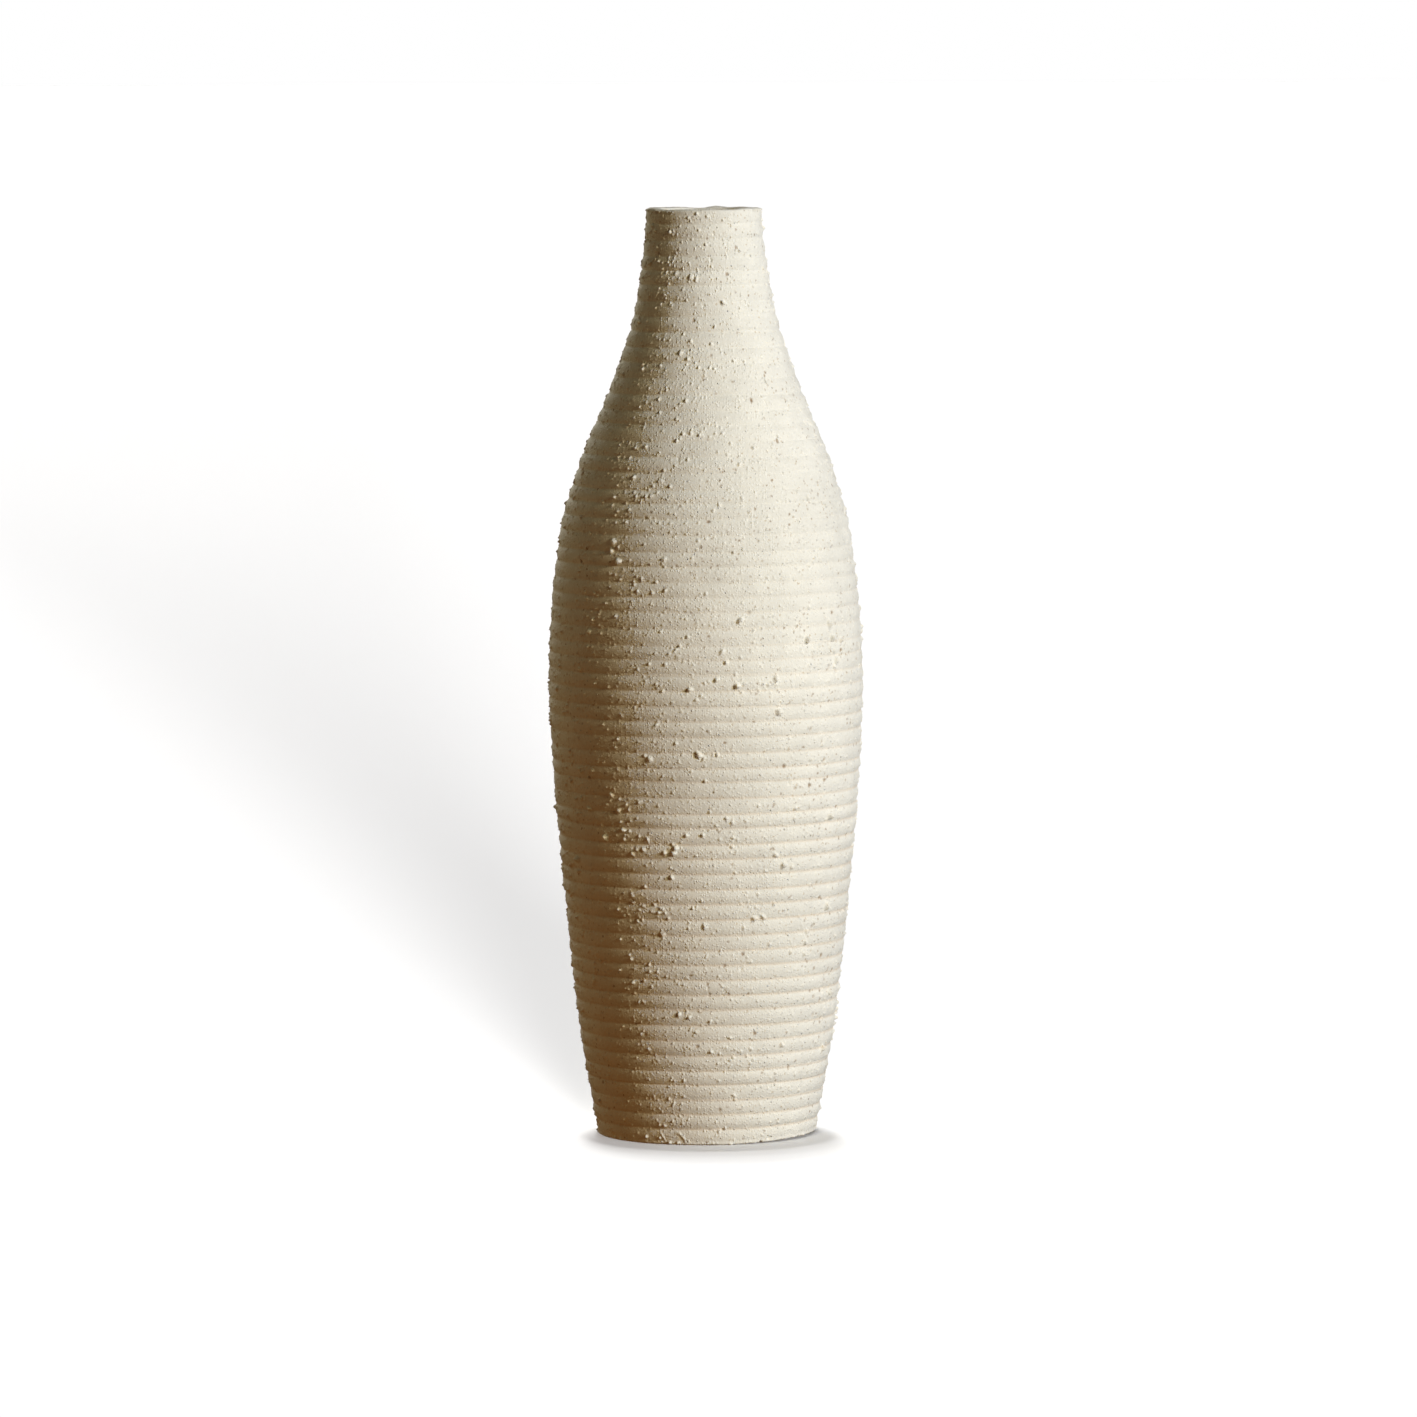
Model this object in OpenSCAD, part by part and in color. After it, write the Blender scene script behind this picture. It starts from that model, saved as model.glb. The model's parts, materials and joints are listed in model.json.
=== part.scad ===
// Tall bottle vase in coarse stoneware, built ring on ring from rolled coils of
// clay on a slab base. The coils stay as low rounded rings on the outside. The
// wall is raised in stages, and each stage is luted to the one below it with a
// bevelled joint. The inside is glazed. Millimetres, +Z up, with the origin on
// the table under the centre of the foot.

/* [Overall] */
// Height from the table to the lip
height = 460; // [430:1:480]
// Diameter of the belly at its widest
belly_d = 156; // [150:1:170]
// Diameter of the throat's bore
throat_d = 44; // [38:1:44]

/* [Clay coils] */
// Coils of clay from the table to the lip, the slab's edge counting as one
coils = 61; // [59:1:64]
// Depth of the groove between two coils
groove_depth = 0.5; // [0.3:0.1:1.2]
// Thickness of the wall
wall = 7; // [5.5:0.5:8]

/* [Base] */
// Thickness of the slab's floor
floor_t = 9.5; // [9:0.5:12]
// Width of the foot ring that is left round the underside
foot_ring = 12; // [8:1:20]
// Depth that the underside is cut back inside the foot ring
foot_recess = 1.5; // [0.5:0.5:2]
// Radius of the foot's worn lower edge
foot_round = 1.2; // [0.5:0.1:2.5]

/* [Rim] */
// Radius of the rounded lip
lip_round = 1.2; // [0.8:0.1:2.5]
// Length of the straight bore inside the rim
throat_l = 17; // [12:1:18]

/* [Joints and glaze] */
// Rise of the bevelled joint between two stages, from the outside to the inside
bevel = 3.5; // [0.5:0.5:5]
// Thickness of the glaze
glaze_t = 0.8; // [0.5:0.1:1]
// Radius of the pool of glaze where the wall meets the floor
glaze_pool = 4; // [1:0.5:5]

/* [Hidden] */
$fn = 180;

clay = [0.86, 0.81, 0.72];
glaze = [0.55, 0.49, 0.42];

// Outline of the vase without its grooves: height and radius, as shares of the
// vase's height and of the belly's radius.
OUTLINE = [[0, 0.7], [0.1, 0.796], [0.235, 0.891], [0.37, 0.966], [0.51, 1], [0.645, 0.926],
    [0.725, 0.801], [0.8, 0.626], [0.875, 0.474], [0.95, 0.39], [1, 0.362]];

// One coil's cross-section: share of its height, and the share of the groove's
// depth by which its surface lies inside the outline there.
COIL = [[0, 1], [0.1, 0.74], [0.25, 0.29], [0.42, 0.03], [0.58, 0.03], [0.75, 0.29], [0.9, 0.74]];

// Coil at which each stage starts, and the top of the last one, the rim.
stage_coils = 7;
rim_coils = 4;
STAGES = [for (i = [0 : 7]) 1 + stage_coils * i, coils - rim_coils, coils];

coil_h = height / coils;
throat_r = throat_d / 2;
lip_r = belly_d / 2 * OUTLINE[len(OUTLINE) - 1][1];
bore_top = height - lip_round;
bore_bottom = bore_top - throat_l;
arc_steps = 6;

// Slope of the outline at its point i, from the points on both sides of it.
function slope(i) =
    let (a = OUTLINE[max(i - 1, 0)], b = OUTLINE[min(i + 1, len(OUTLINE) - 1)])
    (b[1] - a[1]) / (b[0] - a[0]);

// Smooth curve through the outline's points, at a share h of the height.
function share(h, i = 0) =
    i < len(OUTLINE) - 2 && h > OUTLINE[i + 1][0] ? share(h, i + 1) :
    let (a = OUTLINE[i], b = OUTLINE[i + 1], w = b[0] - a[0], t = (h - a[0]) / w)
    a[1] * (1 + 2 * t) * pow(1 - t, 2) + slope(i) * w * t * pow(1 - t, 2)
    + b[1] * t * t * (3 - 2 * t) - slope(i + 1) * w * t * t * (1 - t);

// Radius of the outside at height z, without the grooves.
function outer_r(z) = belly_d / 2 * share(z / height);

// Point on the inside of the wall, which is never narrower than the throat.
function inner_point(z) = [max(outer_r(z) - wall, throat_r), z];

// Points up the outside from coil a to coil b, without the last groove.
function outside(a, b) = [for (k = [a : b - 1], p = COIL)
    let (z = (k + p[0]) * coil_h) [outer_r(z) - groove_depth * p[1], z]];

// Bottom of the groove at coil k.
function groove(k) = [outer_r(k * coil_h) - groove_depth, k * coil_h];

// Points up the inside from coil a to coil b, at the bevels' inner height.
function inside(a, b) = [for (k = [a : b]) inner_point(k * coil_h + bevel)];

function backwards(points) = [for (i = [len(points) - 1 : -1 : 0]) points[i]];

// Quarter circle round [r, z], turning left from angle a.
function corner(r, z, radius, a) = [for (i = [0 : arc_steps])
    let (t = a + 90 * i / arc_steps) [r + radius * cos(t), z + radius * sin(t)]];

// Solid of revolution from its half outline.
module turned(points) {
    rotate_extrude() polygon(points);
}

// Floor of the vase. Its edge is the first coil, and the wall stands on the
// rebate round its raised middle.
module base_slab() {
    top = STAGES[0];
    ring_r = outer_r(0) - foot_ring;
    color(clay) turned(concat(
        [[0, foot_recess], [ring_r - foot_recess, foot_recess], [ring_r, 0]],
        corner(outer_r(0) - foot_round, foot_round, foot_round, -90),
        [[outer_r(coil_h / 2), coil_h / 2], groove(top)],
        [inner_point(top * coil_h), inner_point(floor_t), [0, floor_t]]));
}

// First stage of the wall. It fits round the raised middle of the slab.
module foot_wall() {
    a = STAGES[0];
    b = STAGES[1];
    color(clay) turned(concat(
        outside(a, b),
        [groove(b)],
        backwards(inside(a + 1, b)),
        [inner_point(floor_t), inner_point(a * coil_h)]));
}

// Stage i of the wall. Both of its ends are bevelled, and are higher on the inside.
module stage(i) {
    a = STAGES[i];
    b = STAGES[i + 1];
    color(clay) turned(concat(outside(a, b), [groove(b)], backwards(inside(a, b))));
}

// Last coils of the wall, with the straight bore of the throat and a rounded lip.
module rim() {
    a = coils - rim_coils;
    color(clay) turned(concat(
        outside(a, coils - 1),
        [groove(coils - 1)],
        corner(lip_r - lip_round, bore_top, lip_round, 0),
        corner(throat_r + lip_round, bore_top, lip_round, 90),
        [[throat_r, bore_bottom], inner_point(a * coil_h + bevel)]));
}

// Glaze over the floor and up the inside to the joint below the rim.
module inner_glaze() {
    wet = inside(STAGES[0] + 1, coils - rim_coils);
    floor_z = floor_t + glaze_t;
    pool_z = floor_z + glaze_pool;
    pool_r = inner_point(floor_t)[0] - glaze_t - glaze_pool;
    color(glaze) turned(concat(
        [[0, floor_t], inner_point(floor_t)],
        wet,
        [for (p = backwards(wet)) if (p[1] > pool_z) [p[0] - glaze_t, p[1]]],
        backwards(corner(pool_r, pool_z, glaze_pool, -90)),
        [[0, floor_z]]));
}

base_slab();
foot_wall();
stage(1);  // lower_wall
stage(2);  // rising_wall
stage(3);  // belly_wall
stage(4);  // upper_belly_wall
stage(5);  // shoulder_wall
stage(6);  // collar_wall
stage(7);  // neck_wall
rim();
inner_glaze();
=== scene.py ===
"""Looks of a tall stoneware bottle vase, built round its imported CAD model.

The outside is one height field over the angle round the axis and the height. It holds the rounds of the
clay coils, the unevenness of handwork, and every grain, lump and pit. The field is cut at the joints
of the CAD model, so that each CAD node of the wall is one closed piece here too.

Shapes are worked out in millimetres and put into the meshes in metres. Heights, radii and joints come
from the CAD frame. Angles round the axis are counterclockwise from +X, seen from above.
"""

import json
import math

import bpy
import numpy as np
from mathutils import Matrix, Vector


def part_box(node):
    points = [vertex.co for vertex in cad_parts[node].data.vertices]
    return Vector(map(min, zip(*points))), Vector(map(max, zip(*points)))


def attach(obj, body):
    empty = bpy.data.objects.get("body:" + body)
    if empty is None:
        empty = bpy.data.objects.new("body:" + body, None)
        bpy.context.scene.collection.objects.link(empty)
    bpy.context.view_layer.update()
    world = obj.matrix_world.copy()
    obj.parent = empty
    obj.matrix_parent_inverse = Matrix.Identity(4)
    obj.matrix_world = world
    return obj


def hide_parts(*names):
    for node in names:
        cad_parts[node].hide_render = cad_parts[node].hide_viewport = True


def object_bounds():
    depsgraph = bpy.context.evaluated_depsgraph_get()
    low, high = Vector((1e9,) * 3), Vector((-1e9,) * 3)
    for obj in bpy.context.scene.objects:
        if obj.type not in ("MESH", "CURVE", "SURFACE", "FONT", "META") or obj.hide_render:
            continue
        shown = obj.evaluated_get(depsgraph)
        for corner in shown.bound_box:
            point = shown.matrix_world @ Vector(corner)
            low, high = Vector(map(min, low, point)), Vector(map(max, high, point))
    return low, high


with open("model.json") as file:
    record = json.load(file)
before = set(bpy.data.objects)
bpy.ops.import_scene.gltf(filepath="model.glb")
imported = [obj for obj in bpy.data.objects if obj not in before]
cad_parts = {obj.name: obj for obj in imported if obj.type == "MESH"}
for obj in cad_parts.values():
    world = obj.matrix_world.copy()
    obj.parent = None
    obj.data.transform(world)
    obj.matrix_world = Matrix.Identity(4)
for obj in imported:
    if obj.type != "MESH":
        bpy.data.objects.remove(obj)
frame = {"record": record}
cad_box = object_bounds()

MM = 0.001
rng = np.random.default_rng(20)

# ---------------------------------------------------------------------------------------------
# Dimensions, in millimetres
# ---------------------------------------------------------------------------------------------

WALL_NODES = [
    "foot_wall", "lower_wall", "rising_wall", "belly_wall", "upper_belly_wall",
    "shoulder_wall", "collar_wall", "neck_wall", "rim",
]

HEIGHT = cad_box[1].z / MM
BELLY_R = cad_box[1].x / MM
COILS = 61
COIL_H = HEIGHT / COILS
WALL = 7.0
GLAZE = 0.8
GLAZE_POOL = 4.0
EDGE_ROUND = 1.2
FOOT_ROUND = 0.5
FOOT_RING = 12.0
FOOT_RECESS = 1.5

# Outline of the vase without its grooves, as shares of the height and of the belly's radius
OUTLINE = np.array([
    (0, 0.7), (0.1, 0.796), (0.235, 0.891), (0.37, 0.966), (0.51, 1), (0.645, 0.926),
    (0.725, 0.801), (0.8, 0.626), (0.875, 0.474), (0.95, 0.39), (1, 0.362),
])

mouth = next(m for m in frame["record"]["mounts"] if m["name"] == "mouth")
THROAT_R = mouth["dims"]["r_mm"]
BORE_BOTTOM = HEIGHT - EDGE_ROUND - mouth["dims"]["length_mm"]
FLOOR_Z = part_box("inner_glaze")[0].z / MM
BEVEL = (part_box("foot_wall")[1].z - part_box("lower_wall")[0].z) / MM


def outer_r(z):
    """Radius of the outside at heights z, without the grooves."""
    h, r = OUTLINE.T
    last = len(h) - 1
    above, below = np.minimum(np.arange(last + 1) + 1, last), np.maximum(np.arange(last + 1) - 1, 0)
    slope = (r[above] - r[below]) / (h[above] - h[below])
    share = np.clip(np.asarray(z, float) / HEIGHT, 0, 1)
    i = np.clip(np.searchsorted(h, share) - 1, 0, last - 1)
    w = h[i + 1] - h[i]
    t = (share - h[i]) / w
    return BELLY_R * (
        r[i] * (1 + 2 * t) * (1 - t) ** 2
        + slope[i] * w * t * (1 - t) ** 2
        + r[i + 1] * t * t * (3 - 2 * t)
        - slope[i + 1] * w * t * t * (1 - t)
    )


def inner_r(z):
    """Radius of the clay inside the wall at heights z."""
    return np.maximum(outer_r(z) - WALL, THROAT_R)


# ---------------------------------------------------------------------------------------------
# The height field of the outside: rows go up, columns go round
# ---------------------------------------------------------------------------------------------

ROWS_A_COIL = 15
COLUMNS = 896
ROW_Z = np.linspace(0, HEIGHT, COILS * ROWS_A_COIL + 1)
ROW_R = outer_r(ROW_Z)
ROW_H = ROW_Z[1]
COLUMN_A = 2 * math.pi / COLUMNS
COLUMN_ANGLES = np.arange(COLUMNS) * COLUMN_A
FRONT = -math.pi / 2
Z, A = np.meshgrid(ROW_Z, COLUMN_ANGLES, indexing="ij")


def smooth(x, low, high):
    """0 at low, 1 at high, and a smooth step between them."""
    t = np.clip((x - low) / (high - low), 0, 1)
    return t * t * (3 - 2 * t)


def waves(count, size, most_round, length):
    """Sum of random waves round and up the wall, about size high and length long."""
    total = np.zeros_like(Z)
    for _ in range(count):
        up = rng.choice([-1, 1]) * 2 * math.pi / (length * rng.uniform(0.7, 1.5))
        total += np.cos(rng.integers(0, most_round + 1) * A + up * Z + rng.uniform(0, 2 * math.pi))
    return total * size / math.sqrt(count / 2)


GROOVE_DEPTH = 0.52
# Shares of a coil's height: the groove's soft bottom, the warm painted shade line in it, and how uneven the
# coils are
GROOVE_WIDTH = 0.13
GROOVE_SHADE_WIDTH = 0.13
UNEVEN_HEIGHT = 0.035
# How uneven the grooves' depths are, as a share of the depth, and the coils' fullness, in millimetres
UNEVEN_DEPTH = 0.12
UNEVEN_FULLNESS = 0.08
# Heights above the foot between which the grooves begin
GROOVE_START, GROOVE_FULL = 0.6, 2.4
# The grooves are deeper than the plain depth by these factors, at these shares of the height
DEEPER_AT = [0, 0.3, 0.5, 0.7, 1]
DEEPER_BY = [1.45, 1.2, 1.1, 1.45, 1.5]


def coil(part):
    """Share of the groove's depth at parts of a coil's height: round, between soft grooves at 0 and 1."""
    off = np.minimum(part, 1 - part)
    half = GROOVE_WIDTH / 2
    arc = (0.5 - off) ** 2 / (0.5 - half) / 0.5
    return np.where(off < half, 1 - off**2 / half / 0.5, arc)


def stacked_coils():
    """How far the surface lies inside the outline for the stacked coils, and the painted shade line along
    each groove.

    Each coil is a level ring. Its height and fullness differ a little from the next one's, and round it."""
    level = Z / COIL_H
    below = np.floor(level)
    uneven = [
        (rng.normal(0, size, COILS + 2), rng.uniform(0, 2 * math.pi, (COILS + 2, 3)))
        for size in (UNEVEN_HEIGHT, UNEVEN_DEPTH, UNEVEN_FULLNESS)
    ]

    def along(kind, groove):
        """A value for each groove or coil, with slow changes round it."""
        amount, phase = uneven[kind]
        i = groove.astype(int)
        bend = sum(np.cos((k + 1) * A + phase[i, k]) for k in range(3)) / 4
        return amount[i] + bend * np.std(amount)

    part = level - below
    part = (part - along(0, below) * (1 - part) - along(0, below + 1) * part) % 1
    groove = coil(part)
    # Painted shade: a warm dark line along the bottom of each groove, fading out towards the neck
    line = np.clip(1 - np.minimum(part, 1 - part) / GROOVE_SHADE_WIDTH, 0, 1)
    begins = smooth(Z, GROOVE_START, GROOVE_FULL)
    depth = GROOVE_DEPTH * np.interp(Z / HEIGHT, DEEPER_AT, DEEPER_BY)
    depth *= (1 + along(1, below + (part > 0.5))) * begins * smooth(HEIGHT - Z, EDGE_ROUND, 3.5)
    fullness = along(2, below) * (1 - groove)
    return depth * groove - fullness, line * begins * (1 - smooth(Z, 0.25 * HEIGHT, 0.75 * HEIGHT))


CLUSTER_REACH = 7.0


def scatter(count, gathered=0.0):
    """Random places on the outside, even over its area, as angles and heights. A share lies in clusters."""
    area = np.cumsum(ROW_R)
    z = np.interp(rng.uniform(0, area[-1], count), area, ROW_Z)
    a = rng.uniform(0, 2 * math.pi, count)
    if gathered:
        loose = int(count * (1 - gathered))
        home = rng.integers(0, max(1, loose // 6), count - loose)
        z[loose:] = np.clip(z[home] + rng.normal(0, CLUSTER_REACH, count - loose), 1, HEIGHT - 1)
        a[loose:] = a[home] + rng.normal(0, CLUSTER_REACH, count - loose) / outer_r(z[loose:])
    return a, z


def press(field, a, z, radius, height, power=2.5):
    """Sets angular bumps of those radii and heights into the field, the highest at each point winning."""
    reach = 1.3 * np.max(radius)
    up = np.arange(-math.ceil(reach / ROW_H), math.ceil(reach / ROW_H) + 1)
    across = math.ceil(reach / (np.min(ROW_R) * COLUMN_A))
    across = np.arange(-across, across + 1)
    column = lambda x: np.asarray(x)[:, None, None]
    rows = column(np.rint(z / ROW_H).astype(int)) + up[None, :, None]
    columns = column(np.rint(a / COLUMN_A).astype(int)) + across[None, None, :]
    inside = (rows >= 0) & (rows < len(ROW_Z))
    rows = np.clip(rows, 0, len(ROW_Z) - 1)
    x = (columns * COLUMN_A - column(a)) * ROW_R[rows]
    y = ROW_Z[rows] - column(z)
    lie = column(rng.uniform(0, 2 * math.pi, len(z)))
    long = column(rng.uniform(0.75, 1.3, len(z)))
    along, beside = (x * np.cos(lie) + y * np.sin(lie)) / long, (y * np.cos(lie) - x * np.sin(lie)) * long
    bearing = np.arctan2(beside, along)
    edge = 1 + 0.14 * np.cos(3 * bearing + 3 * lie) + 0.1 * np.cos(5 * bearing + 7 * lie)
    away = np.hypot(along, beside) / (column(radius) * edge)
    bump = column(height) * (1 - np.minimum(away, 1) ** power)
    held = inside & (away < 1)
    spots = (rows * COLUMNS + columns % COLUMNS)[held]
    np.maximum.at(field.ravel(), spots, bump[held])


# name: how many on a square centimetre, radii from and to, height as a share of the radius, and the share
# that lies in clusters
GRAINS = {
    "sand": (50, 0.25, 0.42, 0.32, 0.0),
    "coarse sand": (8, 0.36, 0.6, 1.15, 0.3),
    "grains": (1.1, 0.55, 0.95, 1.3, 0.5),
    "lumps": (0.1, 1.0, 1.9, 1.1, 0.3),
}
AREA_CM2 = 2 * math.pi * np.sum(ROW_R) * ROW_H / 100


def grit():
    """Heights of all sand, grains and lumps over the clay."""
    total = np.zeros_like(Z)
    for a_cm2, low, high, tall, gathered in GRAINS.values():
        a, z = scatter(int(a_cm2 * AREA_CM2), gathered)
        radius = low + (high - low) * rng.random(len(z)) ** 1.8
        layer = np.zeros_like(Z)
        press(layer, a, z, radius, radius * tall * rng.uniform(0.6, 1.2, len(z)))
        total = np.maximum(total, layer)
    return total


def pits():
    """Depths of the pits where grains fell out, and the brown stains in and round some of them."""
    depth, stain = np.zeros_like(Z), np.zeros_like(Z)
    a, z = scatter(int(0.25 * AREA_CM2), 0.5)
    radius = rng.uniform(0.5, 1.0, len(z))
    press(depth, a, z, radius, radius * 0.6, 2)
    brown = rng.random(len(z)) < 0.6
    press(stain, a[brown], z[brown], radius[brown] * 1.3, rng.uniform(0.3, 1, len(z))[brown], 3)
    a, z = scatter(int(1.1 * AREA_CM2), 0.3)
    press(stain, a, z, rng.uniform(0.4, 0.8, len(z)), rng.uniform(0.3, 1, len(z)), 3)
    return depth, stain


def ridge(field, degrees_from_front, heights, width, height):
    """A fold of pressed clay along a line, given by angles from the front and heights."""
    a, z = FRONT + np.radians(degrees_from_front), np.array(heights, float)
    steps = np.linspace(0, 1, 60)
    places = np.linspace(0, 1, len(z))
    for line_a, line_z, t in zip(np.interp(steps, places, a), np.interp(steps, places, z), steps):
        near_a = ((A - line_a + math.pi) % (2 * math.pi) - math.pi) * ROW_R[:, None]
        away = np.hypot(near_a, Z - line_z) / width
        np.maximum(field, height * math.sin(math.pi * (0.15 + 0.8 * t)) * np.exp(-(away**2)), out=field)


def edge_pull(away, size):
    """How far a rounded edge of that radius lies inside the outline, at distances from its end."""
    return size - np.sqrt(np.maximum(size**2 - np.maximum(size - away, 0) ** 2, 0))


def build_field():
    """Everything about the outside: its radius at each row and column, the painted shade line along the
    grooves, and the brown stains together with the shade painted into the chip at the foot's edge.
    """
    inward, line = stacked_coils()
    grains = grit()
    depth, stain = pits()
    scar = np.zeros_like(Z)
    ridge(scar, [-25, -23, -21.5], [6.6, 3.4, 0.4], 0.45, 0.45)
    ridge(scar, [-16, -13, -11.5, -10.5], [6.4, 4.6, 2.6, 0.4], 0.5, 0.6)
    # Degrees from the front, height and radius
    lumps = [
        (-22, 9.3, 1.0), (-17, 10.2, 0.5), (-12.5, 10.8, 0.7),
        (-9.5, 12.8, 0.7), (-26, 12.2, 0.6), (6, 7.2, 0.9),
    ]
    degrees, heights, sizes = np.array(lumps).T
    press(scar, FRONT + np.radians(degrees), heights, sizes, sizes * 0.8)
    # A chip in the foot's edge; its hollow is painted dark as shade through the stain mask below
    notch = np.zeros_like(Z)
    press(notch, FRONT + np.radians([29.0]), np.array([0.2]), np.array([1.0]), np.array([1.2]), 2)
    soft = waves(7, 0.22, 3, 160) + waves(12, 0.07, 14, 34)
    rounded = edge_pull(HEIGHT - Z, EDGE_ROUND) + edge_pull(Z, FOOT_ROUND)
    radius = outer_r(Z) + soft - inward + grains + scar - depth - notch - rounded
    # The stain mask also carries painted shade: the inside of the chip in the foot's edge is painted dark
    return radius, line, np.maximum(stain, notch > 0.3)


# Heights over which the lift of the lip and of the foot fades into the wall
LIP_REACH = 14
FOOT_REACH = 12


def lip_wave(a):
    """Rise and fall of the lip round the mouth, with a bump at the back where the last coil ends."""
    end = math.radians(76)
    off = (a - end + math.pi) % (2 * math.pi) - math.pi
    wave = 0.22 * np.cos(2 * a + 0.8) + 0.16 * np.cos(5 * a + 2.1) + 0.08 * np.cos(9 * a)
    return wave + 0.75 * np.exp(-((off / 0.16) ** 2)) - 0.3 * smooth(off, 0, 0.5) * smooth(1.4 - off, 0, 0.8)


def foot_lift(a):
    """How far the foot's edge stands off the table, which it does a little on its right."""
    return 1.1 * smooth(np.cos(a - 0.15), 0.0, 1.0)


RADIUS, PAINTED_GROOVE_SHADE, STAINS_AND_NOTCH_SHADE = build_field()

# ---------------------------------------------------------------------------------------------
# Rings of points, and closed meshes over them
# ---------------------------------------------------------------------------------------------

# Point masks for the stoneware: a painted shade line along the grooves, and the brown stains with the shade
# painted into the chip at the foot's edge
MASKS = ("groove", "stain")
pieces = []


def ring(radius, z, groove=0.0, stain=0.0):
    """One ring: a row of x, y, z, painted groove shade and stain for each point; the stain column also holds
    the shade painted into the foot's chip. The radius may vary round it.
    """
    radius = np.atleast_1d(np.asarray(radius, float))
    a = np.arange(len(radius)) * 2 * math.pi / len(radius)
    spread = lambda value: np.broadcast_to(value, radius.shape)
    return np.stack([radius * np.cos(a), radius * np.sin(a), spread(z), spread(groove), spread(stain)], 1)


def circle(radius, z, count):
    """A plain ring of that many points."""
    return ring(np.full(count, float(radius)), z)


def outer_ring(row):
    """The field's ring at a row, with the lift of the lip and of the foot."""
    z = ROW_Z[row]
    lip = lip_wave(COLUMN_ANGLES) * smooth(z, HEIGHT - LIP_REACH, HEIGHT)
    z = z + lip + foot_lift(COLUMN_ANGLES) * smooth(FOOT_REACH - z, 0, FOOT_REACH)
    return ring(RADIUS[row], z, PAINTED_GROOVE_SHADE[row], STAINS_AND_NOTCH_SHADE[row])


def faces_between(start_a, count_a, start_b, count_b):
    """Faces that join two neighbouring rings, of equal counts, or one twice the other, or one of them 1."""
    j = np.arange(max(count_a, count_b) if 1 in (count_a, count_b) else min(count_a, count_b))
    a, b = lambda k: start_a + k % count_a, lambda k: start_b + k % count_b
    if count_a == count_b:
        return [np.stack([a(j), a(j + 1), b(j + 1), b(j)], 1)]
    if count_b == 1:
        return [np.stack([a(j), a(j + 1), b(0 * j)], 1)]
    if count_a == 1:
        return [np.stack([a(0 * j), b(j + 1), b(j)], 1)]
    if count_a == 2 * count_b:
        near, mid, far = a(2 * j), a(2 * j + 1), a(2 * j + 2)
        return [
            np.stack([near, mid, b(j)], 1),
            np.stack([mid, b(j + 1), b(j)], 1),
            np.stack([mid, far, b(j + 1)], 1),
        ]
    near, mid, far = b(2 * j), b(2 * j + 1), b(2 * j + 2)
    return [
        np.stack([a(j), a(j + 1), mid], 1),
        np.stack([a(j + 1), far, mid], 1),
        np.stack([a(j), mid, near], 1),
    ]


def make_piece(name, rings, material, node, creases=(), closed=True):
    """One closed mesh for a CAD node, over rings that run up the outside, in, and down the inside."""
    counts = [len(r) for r in rings]
    starts = np.cumsum([0] + counts[:-1])
    order = list(range(len(rings)))
    pairs = list(zip(order, order[1:] + order[:1] if closed else order[1:]))
    faces = [f for i, k in pairs for f in faces_between(starts[i], counts[i], starts[k], counts[k])]
    quads = np.concatenate([f for f in faces if f.shape[1] == 4])
    tris = [f for f in faces if f.shape[1] == 3]
    tris = np.concatenate(tris) if tris else np.zeros((0, 3), int)
    points = np.concatenate(rings)

    mesh = bpy.data.meshes.new(name)
    mesh.vertices.add(len(points))
    mesh.vertices.foreach_set("co", (points[:, :3] * MM).astype(np.float32).ravel())
    corners = np.concatenate([quads.ravel(), tris.ravel()])
    mesh.loops.add(len(corners))
    mesh.loops.foreach_set("vertex_index", corners.astype(np.int32))
    first = np.concatenate([np.arange(len(quads)) * 4, len(quads) * 4 + np.arange(len(tris)) * 3])
    mesh.polygons.add(len(first))
    mesh.polygons.foreach_set("loop_start", first.astype(np.int32))
    mesh.update(calc_edges=True)
    mesh.validate()

    ring_of = np.repeat(order, counts)
    edges = np.zeros(len(mesh.edges) * 2, np.int32)
    mesh.edges.foreach_get("vertices", edges)
    ends = ring_of[edges.reshape(-1, 2)]
    sharp = mesh.attributes.new("sharp_edge", "BOOLEAN", "EDGE")
    sharp.data.foreach_set("value", (ends[:, 0] == ends[:, 1]) & np.isin(ends[:, 0], list(creases)))
    for k, mask in enumerate(MASKS):
        layer = mesh.attributes.new(mask, "FLOAT", "POINT")
        layer.data.foreach_set("value", points[:, 3 + k].astype(np.float32))
    mesh.materials.append(material)

    piece = bpy.data.objects.new(name, mesh)
    bpy.context.scene.collection.objects.link(piece)
    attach(piece, "root")
    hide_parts(node)
    pieces.append(piece)


INNER_COLUMNS = COLUMNS // 4


def joint(row, inner_z):
    """Rings across the joint at a row, from near the outside to the inner edge, coarser on the way."""
    outside = outer_ring(row) * [1, 1, 1, 0, 0]
    inside = circle(inner_r(inner_z), inner_z, COLUMNS)
    return [(outside * (1 - t) + inside * t)[::step] for t, step in ((1 / 3, 2), (2 / 3, 4), (1, 4))]


def inner_wall(low, high):
    """Plain rings down the inside, one for each coil from high to low."""
    heights = np.arange(high - 1, low, -1) * COIL_H + BEVEL
    return [circle(inner_r(z), z, INNER_COLUMNS) for z in heights]


def wavy(radius, z, size, count):
    """A ring that wanders a little in radius."""
    a = np.arange(count) * 2 * math.pi / count
    bend = sum(np.cos(k * a + rng.uniform(0, 2 * math.pi)) for k in (2, 3, 5, 9)) / 2
    return ring(radius + size * bend, z)


def sandy(radius, z, size, count, upward=0.0):
    """A circle of clay with sand in it: its points stand out by up to size, across the ring or up from it."""
    rough = size * rng.random(count) ** 4
    points = ring(radius - rough * (1 - upward), z)
    points[:, 2] += rough * upward
    return points


# ---------------------------------------------------------------------------------------------
# Materials: stoneware and glaze
# ---------------------------------------------------------------------------------------------


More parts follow.
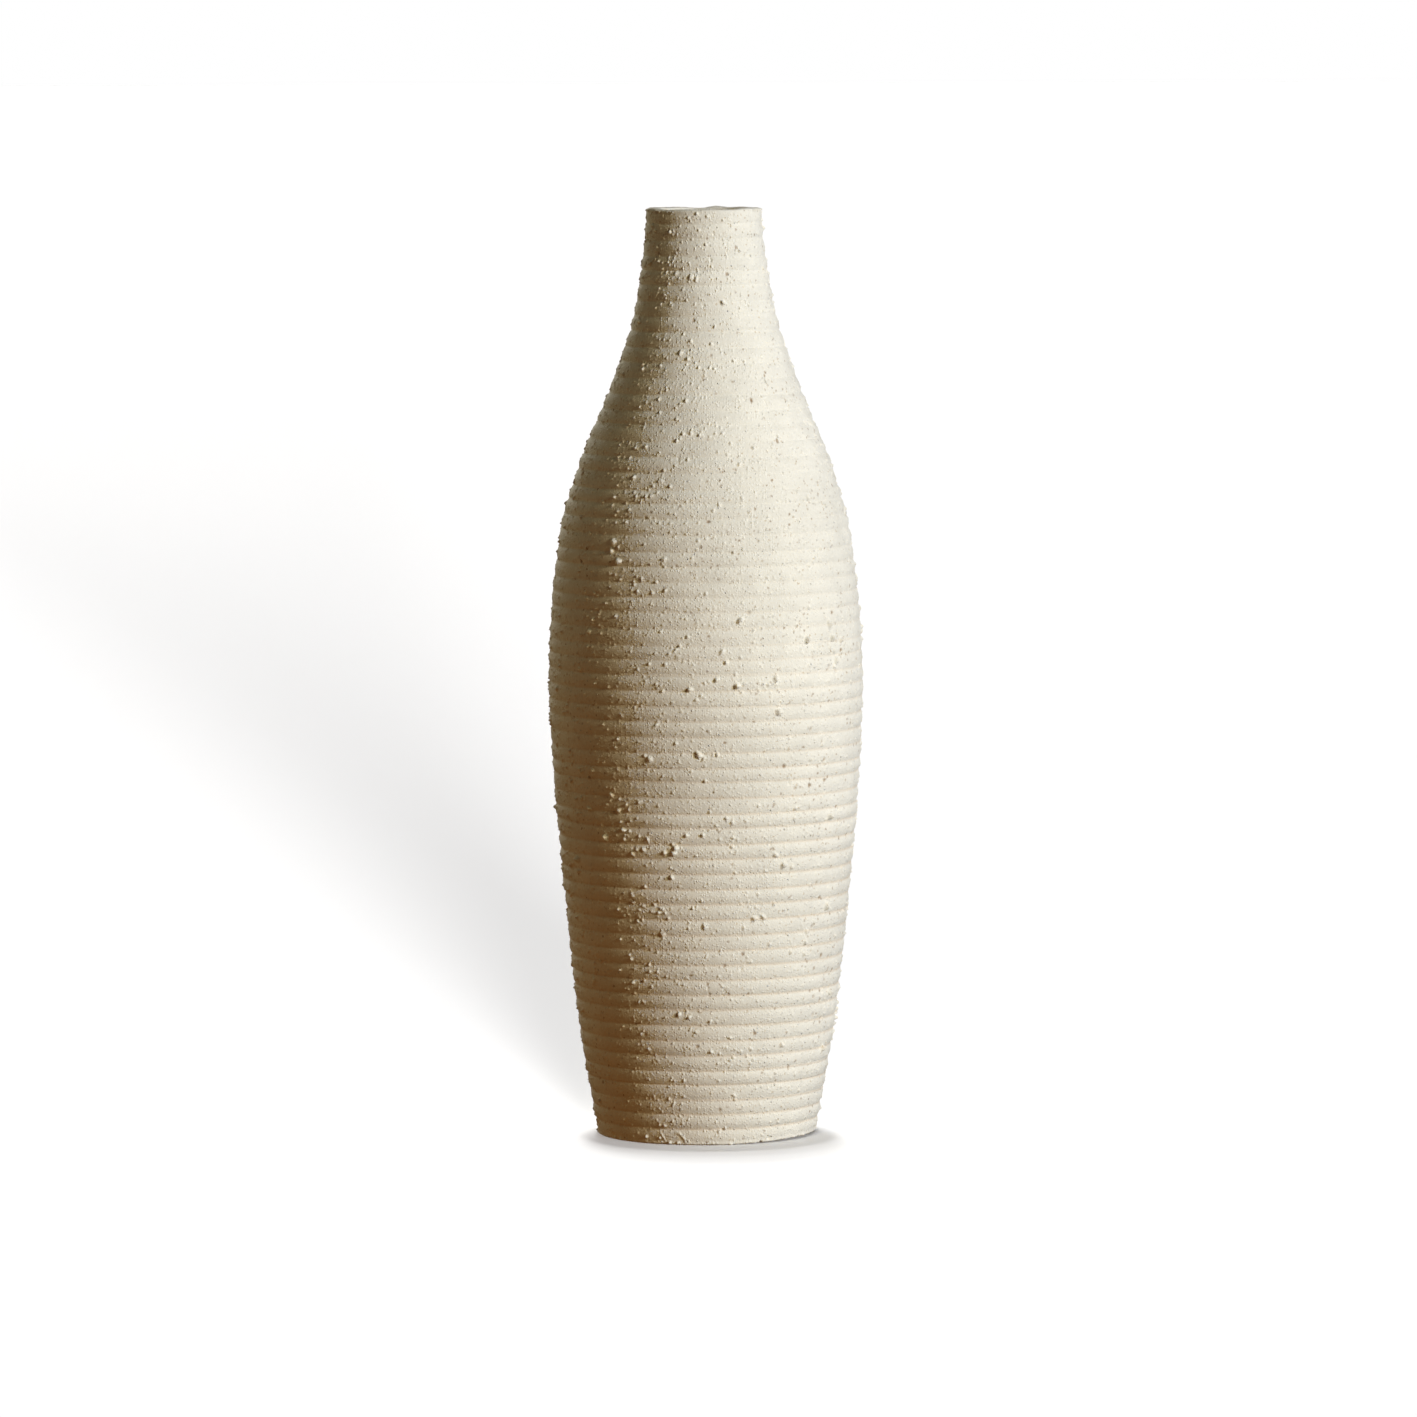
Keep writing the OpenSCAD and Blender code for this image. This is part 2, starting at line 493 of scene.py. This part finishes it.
class Nodes:
    """Short way to build a node tree: each call adds a node and returns its first output."""

    def __init__(self, name):
        self.material = bpy.data.materials.new(name)
        self.material.use_nodes = True
        self.tree = self.material.node_tree
        self.shader = self.tree.nodes["Principled BSDF"]
        self.place = self.add("ShaderNodeTexCoord").outputs["Object"]

    def add(self, kind, inputs=(), **settings):
        node = self.tree.nodes.new(kind)
        for key, value in settings.items():
            setattr(node, key, value)
        for key, value in dict(inputs).items():
            self.feed(node.inputs[key], value)
        return node

    def feed(self, socket, value):
        if isinstance(value, bpy.types.NodeSocket):
            self.tree.links.new(value, socket)
        else:
            socket.default_value = value

    def noise(self, scale, detail=2.0, rough=0.5):
        """Noise round 0.5, with scale features to the metre."""
        inputs = {"Vector": self.place, "Scale": scale, "Detail": detail, "Roughness": rough}
        return self.add("ShaderNodeTexNoise", inputs).outputs["Fac"]

    def grains(self, scale):
        """One random value for each grain."""
        node = self.add("ShaderNodeTexVoronoi", {"Vector": self.place, "Scale": scale})
        return self.add("ShaderNodeSeparateColor", {"Color": node.outputs["Color"]}).outputs["Red"]

    def away(self, scale):
        """Distance from the middle of the nearest grain, in parts of a grain."""
        return self.add("ShaderNodeTexVoronoi", {"Vector": self.place, "Scale": scale}).outputs["Distance"]

    def span(self, value, low, high, to_low, to_high):
        """Maps low..high onto to_low..to_high, and stays inside it."""
        inputs = {"Value": value, "From Min": low, "From Max": high, "To Min": to_low, "To Max": to_high}
        return self.add("ShaderNodeMapRange", inputs).outputs["Result"]

    def math(self, operation, a, b):
        return self.add("ShaderNodeMath", {0: a, 1: b}, operation=operation).outputs["Value"]

    def mix(self, share, a, b, blend="MIX"):
        colour = lambda c: c if isinstance(c, bpy.types.NodeSocket) else (*c, 1)
        node = self.add("ShaderNodeMix", data_type="RGBA", blend_type=blend)
        for key, value in ((0, share), (6, colour(a)), (7, colour(b))):
            self.feed(node.inputs[key], value)
        return node.outputs[2]

    def grey(self, value):
        inputs = {"Red": value, "Green": value, "Blue": value}
        return self.add("ShaderNodeCombineColor", inputs).outputs["Color"]

    def mask(self, name):
        return self.add("ShaderNodeAttribute", attribute_name=name).outputs["Fac"]

    def height(self):
        return self.add("ShaderNodeSeparateXYZ", {"Vector": self.place}).outputs["Z"]


CLAY_TOP = (0.83, 0.80, 0.71)
CLAY_FOOT = (0.83, 0.79, 0.69)
# Warm brown painted along the grooves as shade
GROOVE_SHADE_COLOUR = (0.64, 0.44, 0.25)
# Brown of the stains and glaze flecks, which also paints the shade seen in the chip at the foot's edge
STAIN_AND_SHADE_BROWN = (0.30, 0.19, 0.10)
SAND_TAN = (0.58, 0.47, 0.33)


def stoneware():
    """Bare sandy stoneware, cream, a little warmer towards the foot, with painted shade along the grooves and
    in the chip at the foot's edge.
    """
    n = Nodes("stoneware")
    up = n.span(n.height(), 0, HEIGHT * MM, 0, 1)
    colour = n.mix(up, CLAY_FOOT, CLAY_TOP)
    colour = n.mix(1, colour, n.grey(n.span(n.noise(14, 3), 0.3, 0.7, 0.95, 1.03)), "MULTIPLY")
    colour = n.mix(1, colour, n.grey(n.span(n.noise(90, 3), 0.3, 0.7, 0.96, 1.03)), "MULTIPLY")
    sand = n.grains(900)
    colour = n.mix(1, colour, n.grey(n.span(sand, 0, 1, 0.965, 1.03)), "MULTIPLY")
    tan = n.span(n.grains(1150), 0.985, 0.99, 0, 0.6)
    colour = n.mix(tan, colour, SAND_TAN)
    # Painted shade: the warm line along the grooves
    colour = n.mix(n.span(n.mask("groove"), 0, 1, 0, 0.36), colour, GROOVE_SHADE_COLOUR)
    # Brown stains, and the painted shade in the chip at the foot's edge
    colour = n.mix(n.span(n.mask("stain"), 0, 1, 0, 0.9), colour, STAIN_AND_SHADE_BROWN)
    n.feed(n.shader.inputs["Base Color"], colour)
    n.feed(n.shader.inputs["Roughness"], n.span(n.noise(160, 2), 0.3, 0.7, 0.87, 0.96))
    n.shader.inputs["Specular IOR Level"].default_value = 0.3
    grain = n.math("MULTIPLY", n.span(n.away(900), 0.15, 0.6, 1, 0), n.span(sand, 0.45, 1, 0, 1))
    coarse = n.math("MULTIPLY", n.span(n.away(600), 0.12, 0.28, 1, 0), n.span(n.grains(600), 0.84, 1, 0, 1))
    fine = n.math("ADD", n.noise(1500, 3, 0.6), n.math("MULTIPLY", grain, 1.4))
    fine = n.math("ADD", fine, n.math("MULTIPLY", coarse, 3.6))
    bump = n.add("ShaderNodeBump", {"Height": fine, "Distance": 0.17 * MM, "Strength": 1.0})
    n.feed(n.shader.inputs["Normal"], bump.outputs["Normal"])
    return n.material


GLAZE_THIN = (0.34, 0.26, 0.17)
GLAZE_THICK = (0.20, 0.15, 0.10)


def glaze():
    """Satin brown-grey glaze, darker where it pooled, with fine dark flecks."""
    n = Nodes("glaze")
    pooled = n.span(n.height(), FLOOR_Z * MM, (FLOOR_Z + 25) * MM, 1, 0)
    colour = n.mix(pooled, GLAZE_THIN, GLAZE_THICK)
    colour = n.mix(1, colour, n.grey(n.span(n.noise(40, 4), 0.3, 0.7, 0.85, 1.12)), "MULTIPLY")
    colour = n.mix(n.span(n.grains(700), 0.95, 0.96, 0, 0.6), colour, STAIN_AND_SHADE_BROWN)
    n.feed(n.shader.inputs["Base Color"], colour)
    n.feed(n.shader.inputs["Roughness"], n.span(n.noise(120, 3), 0.3, 0.7, 0.26, 0.42))
    bump = n.add("ShaderNodeBump", {"Height": n.noise(150, 2), "Distance": 0.2 * MM, "Strength": 1.0})
    n.feed(n.shader.inputs["Normal"], bump.outputs["Normal"])
    return n.material


CLAY = stoneware()
GLAZED = glaze()

# ---------------------------------------------------------------------------------------------
# The pieces
# ---------------------------------------------------------------------------------------------

# Radii and point counts of the circles that close a floor
FLOOR_CIRCLES = ((30, 112), (15, 56), (5, 28), (0, 1))
# Coil at which each stage of the wall begins, and the number of coils
STAGE_COILS = [round(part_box(node)[0].z / MM / COIL_H) for node in WALL_NODES] + [COILS]


def distances(points):
    """Distance of each of a ring's points from the axis."""
    return np.hypot(points[:, 0], points[:, 1])


def make_base_slab():
    """Slab base: recessed underside, foot ring, the first coil as its edge, and the floor on top."""
    ring_r = outer_r(0) - FOOT_RING
    edge_r = distances(outer_ring(0))
    underside = [circle(0, FOOT_RECESS, 1)]
    recess_circles = ((3, 28), (8, 56), (16, 112), (22, 112), (28, 224), (34, 224))
    for r, count in (*recess_circles, (ring_r - FOOT_RECESS, 224)):
        underside.append(sandy(np.full(count, r), FOOT_RECESS, 0.5, count, -1.0))
    underside.append(sandy(np.full(COLUMNS // 2, ring_r), 0.15, 0.0, COLUMNS // 2))
    worn = []
    for inward in np.arange(10, 0.5, -1.0):
        lift = foot_lift(COLUMN_ANGLES) * (1 - inward / FOOT_RING) ** 2
        worn.append(sandy(edge_r - inward, lift + 0.02, 0.35, COLUMNS, 1.0))
    top_row = ROWS_A_COIL * STAGE_COILS[0]
    outside = [outer_ring(row) for row in range(top_row + 1)]
    step = joint(top_row, STAGE_COILS[0] * COIL_H)
    middle = [circle(r, FLOOR_Z, n) for r, n in ((inner_r(FLOOR_Z), INNER_COLUMNS), *FLOOR_CIRCLES)]
    rings = underside + worn + outside + step + middle
    edge = len(underside) + len(worn) + len(outside) - 1
    creases = [edge, edge + len(step), edge + len(step) + 1]
    make_piece("base_slab", rings, CLAY, "base_slab", creases, closed=False)


def make_stage(node, low, high):
    """One stage of the wall, from coil low up to coil high. The first stands on the slab's step."""
    outside = [outer_ring(row) for row in range(ROWS_A_COIL * low, ROWS_A_COIL * high + 1)]
    top = joint(ROWS_A_COIL * high, high * COIL_H + BEVEL)
    down = inner_wall(low, high)
    bottom_z = low * COIL_H + BEVEL
    if low == STAGE_COILS[0]:
        down.append(circle(inner_r(FLOOR_Z), FLOOR_Z, INNER_COLUMNS))
        bottom_z = low * COIL_H
    bottom = joint(ROWS_A_COIL * low, bottom_z)[::-1]
    last = len(outside) - 1
    inner_top = last + len(top)
    creases = [0, last, inner_top, inner_top + len(down) + 1]
    make_piece(node, outside + top + down + bottom, CLAY, node, creases)


LIP_DROP = 0.15  # from the outer edge of the lip to the inner one


def make_rim(low):
    """Last coils, the flat lip with its soft edges, and the straight bore of the throat."""
    outside = [outer_ring(row) for row in range(ROWS_A_COIL * low, len(ROW_Z))]
    a = COLUMN_ANGLES
    lip_z = ROW_Z[-1] + lip_wave(a)
    edge_r = distances(outside[-1])
    bore_r = THROAT_R + 0.12 * np.cos(2 * a + 1) + 0.1 * np.cos(5 * a)
    lip = []
    for t in np.linspace(0, 1, 8)[1:-1]:
        points = ring(edge_r * (1 - t) + (bore_r + EDGE_ROUND) * t, lip_z - LIP_DROP * t)
        points[:, 2] += 0.35 * rng.random(COLUMNS) ** 5
        lip.append(points)
    for bend in np.radians(np.linspace(90, 0, 5)):
        r = bore_r + EDGE_ROUND * (1 - math.cos(bend))
        lip.append(ring(r, lip_z - LIP_DROP - EDGE_ROUND * (1 - math.sin(bend))))
    bore = []
    start = lip_z - LIP_DROP - EDGE_ROUND
    for k, t in enumerate(np.linspace(0, 1, 26)[1:]):
        points = sandy(bore_r, start * (1 - t) + BORE_BOTTOM * t, 0.3, COLUMNS)
        bore.append(points[:: 1 if k < 12 else 2])
    joint_z = low * COIL_H + BEVEL
    bore.append(circle(inner_r(BORE_BOTTOM), (BORE_BOTTOM + joint_z) / 2, COLUMNS // 2))
    bottom = joint(ROWS_A_COIL * low, joint_z)[::-1]
    rings = outside + lip + bore + bottom
    make_piece("rim", rings, CLAY, "rim", [0, len(rings) - len(bottom)])


def make_glaze():
    """The glaze in three lengths, from its pool on the floor to the joint under the rim."""
    top = STAGE_COILS[-2]
    cuts = [STAGE_COILS[0], 22, 43, top]
    level = lambda coil: coil * COIL_H + BEVEL
    for k, (low, high) in enumerate(zip(cuts, cuts[1:])):
        heights = np.arange(level(low), level(high) + 0.01, COIL_H / 2)
        clay_side = [circle(inner_r(z), z, INNER_COLUMNS) for z in heights]
        last = len(heights) - 1
        wet = [
            wavy(inner_r(z) - GLAZE, z, 0.08 if 0 < i < last else 0, INNER_COLUMNS)
            for i, z in enumerate(heights)
        ]
        if k:
            creases = [0, last, last + 1, 2 * last + 1]
            make_piece(f"glaze_{k + 1}", clay_side + wet[::-1], GLAZED, "inner_glaze", creases)
            continue
        floor_r = inner_r(FLOOR_Z)
        under = [circle(r, FLOOR_Z, n) for r, n in (*FLOOR_CIRCLES[::-1], (floor_r, INNER_COLUMNS))]
        film_z = FLOOR_Z + GLAZE
        pool = []
        for bend in np.radians(np.linspace(0, 90, 7)):
            r = floor_r - GLAZE - GLAZE_POOL * (1 - math.cos(bend))
            pool.append(circle(r, film_z + GLAZE_POOL * (1 - math.sin(bend)), INNER_COLUMNS))
        floor = [circle(r, film_z, n) for r, n in FLOOR_CIRCLES]
        above = [w for w, z in zip(wet, heights) if z > film_z + GLAZE_POOL]
        rings = under + clay_side + above[::-1] + pool + floor
        corner = len(under) - 1
        creases = [corner, corner + len(clay_side), corner + len(clay_side) + 1]
        make_piece("glaze_1", rings, GLAZED, "inner_glaze", creases, closed=False)


make_base_slab()
for node, low, high in zip(WALL_NODES[:-1], STAGE_COILS, STAGE_COILS[1:]):
    make_stage(node, low, high)
make_rim(STAGE_COILS[-2])
make_glaze()

# ---------------------------------------------------------------------------------------------
# Floor, light and camera
# ---------------------------------------------------------------------------------------------

scene = bpy.context.scene


def toward(azimuth, distance, height):
    """A place at an angle to the right of the front, seen from above, in metres."""
    a = math.radians(azimuth)
    return (distance * math.sin(a), -distance * math.cos(a), height)


def add_light(name, kind, place, aim, power, colour=(1, 1, 1), **settings):
    """A light that shines from a place at a point."""
    data = bpy.data.lights.new(name, kind)
    data.energy = power
    data.color = colour
    for key, value in settings.items():
        setattr(data, key, value)
    light = bpy.data.objects.new(name, data)
    scene.collection.objects.link(light)
    light.location = place
    light.visible_camera = False
    light.rotation_euler = (Vector(place) - Vector(aim)).to_track_quat("Z", "Y").to_euler()
    return light


def only_for(light, receivers, casters=None):
    """Lets a light shine on those objects alone. If casters are given, they alone block it."""
    for part, objects in (("receiver", receivers), ("blocker", casters)):
        if objects:
            group = bpy.data.collections.new(f"{light.name}_{part}s")
            for one in objects:
                group.objects.link(one)
            setattr(light.light_linking, f"{part}_collection", group)


REACH = 60
FLOOR_GREY = 0.85
floor_corners = [(x * REACH, y * REACH, 0) for x, y in ((-1, -1), (1, -1), (1, 1), (-1, 1))]
floor_mesh = bpy.data.meshes.new("floor")
floor_mesh.from_pydata(floor_corners, [], [(0, 1, 2, 3)])
floor = bpy.data.objects.new("floor", floor_mesh)
scene.collection.objects.link(floor)
floor.visible_diffuse = False
floor.visible_glossy = False
floor.visible_shadow = False
pale = bpy.data.materials.new("pale_floor")
pale.use_nodes = True
pale_shader = pale.node_tree.nodes["Principled BSDF"]
pale_shader.inputs["Base Color"].default_value = (FLOOR_GREY, FLOOR_GREY, FLOOR_GREY, 1)
pale_shader.inputs["Roughness"].default_value = 1
pale_shader.inputs["Specular IOR Level"].default_value = 0
floor_mesh.materials.append(pale)

MIDDLE = (0, 0, HEIGHT * MM / 2)


def soft_light(name, azimuth, elevation, distance, size, share, colour, aim=MIDDLE):
    """A square light. It shows white clay that faces it as a share of full white."""
    e = math.radians(elevation)
    place = toward(azimuth, distance * math.cos(e), aim[2] + distance * math.sin(e))
    return add_light(name, "AREA", place, aim, share * (math.pi * distance) ** 2, colour, size=size)


for one in (
    soft_light("key_left", 36, 16, 4.0, 0.35, 1.0, (0.08, 0.08, 0.04)),
    soft_light("key_mid_left", 44, 16, 4.0, 0.35, 1.0, (0.31, 0.26, 0.16)),
    soft_light("key_mid_right", 51, 16, 4.0, 0.35, 1.0, (0.49, 0.42, 0.31)),
    soft_light("key_right", 57, 16, 4.0, 0.35, 1.0, (0.19, 0.32, 0.57)),
    soft_light("left", -120, 25, 0.75, 0.35, 0.1, (1, 0.98, 0.6), aim=(0, 0, 0.33)),
    soft_light("low_left", -58, -25, 1.0, 0.4, 0.095, (1, 0.35, 0.02), aim=(0, 0, 0.12)),
    soft_light("low_side", -118, 0, 0.7, 0.4, 0.034, (0.53, 1, 0.65), aim=(0, 0, 0.06)),
    soft_light("back", -165, 20, 2.2, 1.0, 0.65, (1, 0.96, 0.9)),
):
    only_for(one, pieces)


def floor_sun(name, azimuth, elevation, share, wide, casts):
    """A sun for the floor alone, as a share of full white there. Those pieces cast its shadow."""
    e = math.radians(elevation)
    place = toward(azimuth, 3 * math.cos(e), 3 * math.sin(e))
    power = share * math.pi / FLOOR_GREY / math.sin(e)
    only_for(add_light(name, "SUN", place, (0, 0, 0), power, angle=math.radians(wide)), [floor], casts)


foot = pieces[:2]
floor_sun("over_back_high", -174, 75, 0.23, 8, foot)
floor_sun("over_back", -174, 60, 0.19, 11, foot)
floor_sun("over_back_low", -173, 45, 0.2, 14, foot)
floor_sun("overhead", 0, 90, 0.13, 60, foot[:1])
floor_sun("low_front", 6.4, 2.4, 0.25, 6.5, pieces[1:])

world = bpy.data.worlds.new("studio")
scene.world = world
world.use_nodes = True
tree = world.node_tree
tree.nodes.clear()
seen = tree.nodes.new("ShaderNodeBackground")
seen.inputs["Color"].default_value = (1, 1, 1, 1)
ambient = tree.nodes.new("ShaderNodeBackground")
ambient.inputs["Color"].default_value = (0.032, 0.024, 0.017, 1)
choose = tree.nodes.new("ShaderNodeMixShader")
rays = tree.nodes.new("ShaderNodeLightPath")
out = tree.nodes.new("ShaderNodeOutputWorld")
tree.links.new(rays.outputs["Is Camera Ray"], choose.inputs[0])
tree.links.new(ambient.outputs[0], choose.inputs[1])
tree.links.new(seen.outputs[0], choose.inputs[2])
tree.links.new(choose.outputs[0], out.inputs["Surface"])

camera_data = bpy.data.cameras.new("camera")
camera_data.lens = 222
camera_data.sensor_width = 36
camera_data.clip_end = 200
camera = bpy.data.objects.new("camera", camera_data)
scene.collection.objects.link(camera)
camera.location = (0.00255, -4.33, 0.5592)
tilt = math.radians(4.59)
camera.rotation_euler = (math.pi / 2 - tilt, 0.0036, 0)
scene.camera = camera

scene.view_settings.view_transform = "Standard"
scene.view_settings.look = "None"
